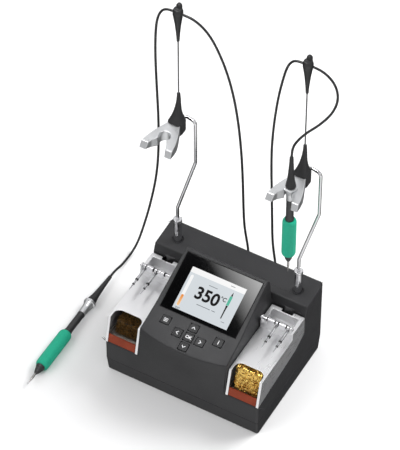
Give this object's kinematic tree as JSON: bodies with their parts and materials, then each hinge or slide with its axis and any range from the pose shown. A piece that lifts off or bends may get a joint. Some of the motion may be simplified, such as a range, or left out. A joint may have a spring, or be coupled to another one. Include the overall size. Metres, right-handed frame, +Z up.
{
  "type": "soldering station",
  "caption": "Two-tool bench soldering station with sloped colour display, seven keys, two lift-out stands with cleaning wool, and two swivel arms that carry the pen tools.",
  "frame": {"origin": "centre of the plane that the four rubber feet stand on", "axes": "+Z up, -Y towards the user, +X to the user's right"},
  "size_m": [0.2875, 0.2606, 0.4775],
  "materials": {
    "housing": "matt dark grey moulded ABS",
    "key_cap": "matt black keys with white symbols",
    "display_glass": "black printed glossy glass",
    "lcd_panel": "lit colour display",
    "circuit_board": "green solder mask",
    "transformer_core": "varnished laminations",
    "black_plastic": "black moulded plastic",
    "black_rubber": "matt black rubber",
    "steel_hardware": "zinc plated steel",
    "brass_plated": "gold plated brass",
    "polished_steel": "polished steel",
    "spring_wire": "drawn spring steel",
    "cast_silver": "satin silver casting",
    "stand_sheet": "bright satin sheet metal",
    "cup_sheet": "brushed sheet",
    "lip_silicone": "red-brown silicone",
    "brass_wool": "curled brass ribbon",
    "bronze_brush": "fine bronze bristles",
    "spare_tip": "steel barrels with black rings",
    "tool_barrel": "black moulded plastic",
    "green_foam": "green closed-cell foam",
    "heater_tip": "plated soldering tip",
    "cord_jacket": "black silicone jacket"
  },
  "bodies": {
    "base": {"upper_shell": "housing", "lower_tray": "housing", "rubber_feet": "black_rubber", "case_screws": "steel_hardware", "display_glass": "display_glass", "lcd_module": "lcd_panel", "circuit_boards": "circuit_board", "transformer": "transformer_core", "rear_panel": "black_plastic", "mains_inlet": "black_plastic", "switch_frame": "black_plastic", "earth_jack": "brass_plated", "tool_sockets": "steel_hardware", "cord_plugs": "black_rubber", "post_left": "polished_steel", "post_right": "polished_steel", "cord_rear_left": "cord_jacket", "cord_rear_right": "cord_jacket", "cord_tool_left": "cord_jacket"},
    "button_menu": {"button_menu": "key_cap"},
    "button_info": {"button_info": "key_cap"},
    "button_up": {"button_up": "key_cap"},
    "button_down": {"button_down": "key_cap"},
    "button_left": {"button_left": "key_cap"},
    "button_ok": {"button_ok": "key_cap"},
    "button_right": {"button_right": "key_cap"},
    "power_rocker": {"power_rocker": "black_plastic"},
    "stand_left": {"stand_cover_left": "stand_sheet", "stand_lip_left": "lip_silicone", "stand_cup_left": "cup_sheet", "wire_brush_left": "bronze_brush"},
    "rack_left": {"spare_rack_left": "polished_steel", "spare_tips_left": "spare_tip"},
    "arm_left": {"arm_rod_left": "polished_steel", "holder_fork_left": "cast_silver", "fork_boot_left": "black_rubber", "guide_wire_left": "spring_wire", "cord_clip_left": "black_plastic"},
    "tool_left": {"tool_boot_left": "black_rubber", "tool_sleeve_left": "cast_silver", "tool_barrel_left": "tool_barrel", "tool_grip_left": "green_foam", "tool_tip_left": "heater_tip"},
    "stand_right": {"stand_cover_right": "stand_sheet", "stand_lip_right": "lip_silicone", "stand_cup_right": "cup_sheet", "brass_wool_right": "brass_wool"},
    "rack_right": {"spare_rack_right": "polished_steel", "spare_tips_right": "spare_tip"},
    "arm_right": {"arm_rod_right": "polished_steel", "holder_fork_right": "cast_silver", "fork_boot_right": "black_rubber", "guide_wire_right": "spring_wire", "cord_clip_right": "black_plastic", "cord_tool_right": "cord_jacket"},
    "tool_right": {"tool_boot_right": "black_rubber", "tool_sleeve_right": "cast_silver", "tool_barrel_right": "tool_barrel", "tool_grip_right": "green_foam", "tool_tip_right": "heater_tip"}
  },
  "joints": [
    {"name": "button_menu_press", "type": "slide", "parent": "base", "child": "button_menu", "axis": [0, 0.2957, -0.9553], "range_m": [0, 0.0008], "stiffness_N_per_m": 350, "springref_m": -0.0006},
    {"name": "button_info_press", "type": "slide", "parent": "base", "child": "button_info", "axis": [0, 0.2957, -0.9553], "range_m": [0, 0.0008], "stiffness_N_per_m": 350, "springref_m": -0.0006},
    {"name": "button_up_press", "type": "slide", "parent": "base", "child": "button_up", "axis": [0, 0.2957, -0.9553], "range_m": [0, 0.0008], "stiffness_N_per_m": 350, "springref_m": -0.0006},
    {"name": "button_down_press", "type": "slide", "parent": "base", "child": "button_down", "axis": [0, 0.2957, -0.9553], "range_m": [0, 0.0008], "stiffness_N_per_m": 350, "springref_m": -0.0006},
    {"name": "button_left_press", "type": "slide", "parent": "base", "child": "button_left", "axis": [0, 0.2957, -0.9553], "range_m": [0, 0.0008], "stiffness_N_per_m": 350, "springref_m": -0.0006},
    {"name": "button_ok_press", "type": "slide", "parent": "base", "child": "button_ok", "axis": [0, 0.2957, -0.9553], "range_m": [0, 0.0008], "stiffness_N_per_m": 350, "springref_m": -0.0006},
    {"name": "button_right_press", "type": "slide", "parent": "base", "child": "button_right", "axis": [0, 0.2957, -0.9553], "range_m": [0, 0.0008], "stiffness_N_per_m": 350, "springref_m": -0.0006},
    {"name": "power_rocker_tilt", "type": "hinge", "parent": "base", "child": "power_rocker", "pos_m": [-0.044, 0.076, 0.048], "axis": [1, 0, 0], "range_deg": [0, 14]},
    {"name": "stand_left_lift", "type": "slide", "parent": "base", "child": "stand_left", "axis": [0, 0, 1], "range_m": [0, 0.045]},
    {"name": "rack_left_swing", "type": "hinge", "parent": "stand_left", "child": "rack_left", "pos_m": [-0.0778, 0.0035, 0.1026], "axis": [-1, 0, 0], "range_deg": [0, 70]},
    {"name": "arm_left_swivel", "type": "hinge", "parent": "base", "child": "arm_left", "pos_m": [-0.0778, 0.0523, 0.13], "axis": [0, 0, 1], "range_deg": [-25, 25], "deforming": ["cord_rear_left", "cord_tool_left"]},
    {"name": "tool_left_lift", "type": "slide", "parent": "base", "child": "tool_left", "axis": [0, 0, 1], "range_m": [0, 0.05], "deforming": ["cord_tool_left"]},
    {"name": "stand_right_lift", "type": "slide", "parent": "base", "child": "stand_right", "axis": [0, 0, 1], "range_m": [0, 0.045]},
    {"name": "rack_right_swing", "type": "hinge", "parent": "stand_right", "child": "rack_right", "pos_m": [0.0778, 0.0035, 0.1026], "axis": [-1, 0, 0], "range_deg": [0, 70]},
    {"name": "arm_right_swivel", "type": "hinge", "parent": "base", "child": "arm_right", "pos_m": [0.0778, 0.0523, 0.13], "axis": [0, 0, 1], "range_deg": [-25, 25], "deforming": ["cord_rear_right"]},
    {"name": "tool_right_lift", "type": "slide", "parent": "arm_right", "child": "tool_right", "axis": [0, 0, 1], "range_m": [0, 0.035], "deforming": ["cord_tool_right"]}
  ]
}
